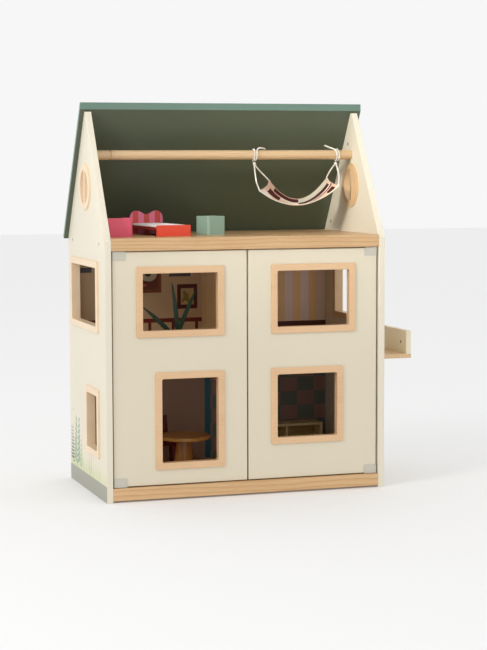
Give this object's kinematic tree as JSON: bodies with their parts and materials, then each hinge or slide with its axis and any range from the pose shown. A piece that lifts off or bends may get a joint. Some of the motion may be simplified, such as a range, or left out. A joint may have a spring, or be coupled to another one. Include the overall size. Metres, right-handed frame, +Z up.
{
  "type": "dollhouse",
  "caption": "Gabled wooden dollhouse with a pair of windowed doors, open attic with hammock on a rail, side balcony and doll furniture.",
  "frame": {"origin": "middle of the overall box, on the surface it stands on; the middle of the house itself is at x -33 mm, y -5.0 mm, because of the balcony and the roof's overhang", "axes": "+Z up, the doors and the open side of the attic face -Y, the balcony is on the +X side"},
  "size_m": [0.623, 0.3017, 0.7253],
  "materials": {
    "cream_paint": "satin cream paint on board",
    "pine": "clear-lacquered pine, fine straight grain",
    "pale_wood": "clear-lacquered pale beech or birch",
    "printed_board": "paper-printed fibreboard, matt",
    "green_paint": "satin sea-green paint",
    "zinc_steel": "zinc-plated steel",
    "clip_metal": "white-coated folded metal",
    "magnet_metal": "nickel-plated, dull",
    "bush_plastic": "moulded nylon",
    "white_cord": "braided cotton cord",
    "hammock_weave": "printed cotton, pink and cream with dark red blocks",
    "coral_paint": "satin coral paint",
    "striped_paint": "coral and pink stripes, satin",
    "red_paint": "satin orange-red paint",
    "white_cotton": "white cotton over thin foam",
    "sage_paint": "satin sage-green paint",
    "oak": "clear-lacquered golden wood",
    "maroon_paint": "satin dark red paint",
    "leaf_green": "stiff dark green felt",
    "pot_clay": "turned wood, terracotta paint"
  },
  "bodies": {
    "house": {"left_side_wall": "cream_paint", "right_side_wall": "cream_paint", "base_board": "pine", "attic_floor": "pine", "middle_floor": "pale_wood", "upper_divider": "pale_wood", "lower_divider": "pale_wood", "back_panel": "printed_board", "roof_panel": "green_paint", "hammock_rail": "pine", "left_gable_ring": "pine", "right_gable_ring": "pine", "left_upper_window_frame": "pine", "left_lower_window_frame": "pine", "balcony_window_frame": "pine", "balcony_floor": "pale_wood", "balcony_rail": "pale_wood", "wall_bolts": "zinc_steel", "roof_bolts": "zinc_steel", "balcony_bolts": "zinc_steel", "balcony_studs": "zinc_steel", "barrel_nuts": "zinc_steel", "pivot_bushes": "bush_plastic", "door_magnets": "magnet_metal"},
    "hammock_hanger": {"hammock_left_loop": "white_cord", "hammock_right_loop": "white_cord"},
    "hammock_sling": {"hammock_left_knot": "white_cord", "hammock_right_knot": "white_cord", "hammock_left_front_strand": "white_cord", "hammock_left_back_strand": "white_cord", "hammock_right_front_strand": "white_cord", "hammock_right_back_strand": "white_cord", "hammock_cloth": "hammock_weave"},
    "doll_armchair": {"armchair": "coral_paint"},
    "doll_bed": {"bed_headboard": "striped_paint", "bed_base": "pale_wood", "bed_mattress": "white_cotton", "bed_foot_board": "red_paint"},
    "doll_pouf": {"pouf": "sage_paint"},
    "doll_table": {"table_top": "oak", "table_leg": "oak"},
    "doll_chair": {"chair_seat": "maroon_paint", "chair_back": "maroon_paint"},
    "doll_console": {"console_case": "pale_wood", "console_back": "oak"},
    "doll_plant": {"plant_pot": "pot_clay", "plant_leaves": "leaf_green"},
    "left_door_leaf": {"left_door": "cream_paint", "left_door_upper_window_frame": "pine", "left_door_lower_window_frame": "pine", "left_door_hinge_clips": "clip_metal", "left_door_pivot_pins": "zinc_steel", "left_door_keeper": "magnet_metal"},
    "right_door_leaf": {"right_door": "cream_paint", "right_door_upper_window_frame": "pine", "right_door_lower_window_frame": "pine", "right_door_hinge_clips": "clip_metal", "right_door_pivot_pins": "zinc_steel", "right_door_keeper": "magnet_metal"}
  },
  "joints": [
    {"name": "left_door_swing", "type": "hinge", "parent": "house", "child": "left_door_leaf", "pos_m": [-0.281, -0.14148, 0.241], "axis": [0, 0, -1], "range_deg": [0, 105]},
    {"name": "right_door_swing", "type": "hinge", "parent": "house", "child": "right_door_leaf", "pos_m": [0.215, -0.14148, 0.241], "axis": [0, 0, 1], "range_deg": [0, 105]},
    {"name": "hammock_slide", "type": "slide", "parent": "house", "child": "hammock_hanger", "axis": [1, 0, 0], "range_m": [-0.24, 0.02]},
    {"name": "hammock_swing", "type": "hinge", "parent": "hammock_hanger", "child": "hammock_sling", "pos_m": [0.1105, -0.00498, 0.628], "axis": [1, 0, 0], "range_deg": [-60, 40]},
    {"name": "armchair_lift_out", "type": "slide", "parent": "house", "child": "doll_armchair", "axis": [0, -1, 0], "range_m": [0, 0.11]},
    {"name": "bed_lift_out", "type": "slide", "parent": "house", "child": "doll_bed", "axis": [0, -1, 0], "range_m": [0, 0.215]},
    {"name": "pouf_lift_out", "type": "slide", "parent": "house", "child": "doll_pouf", "axis": [0, -1, 0], "range_m": [0, 0.14]},
    {"name": "table_move", "type": "slide", "parent": "house", "child": "doll_table", "axis": [0, -1, 0], "range_m": [0, 0.05]},
    {"name": "chair_move", "type": "slide", "parent": "house", "child": "doll_chair", "axis": [0, 1, 0], "range_m": [0, 0.03]},
    {"name": "console_move", "type": "slide", "parent": "house", "child": "doll_console", "axis": [0, -1, 0], "range_m": [0, 0.08]},
    {"name": "plant_move", "type": "slide", "parent": "house", "child": "doll_plant", "axis": [0, 1, 0], "range_m": [0, 0.06]}
  ]
}
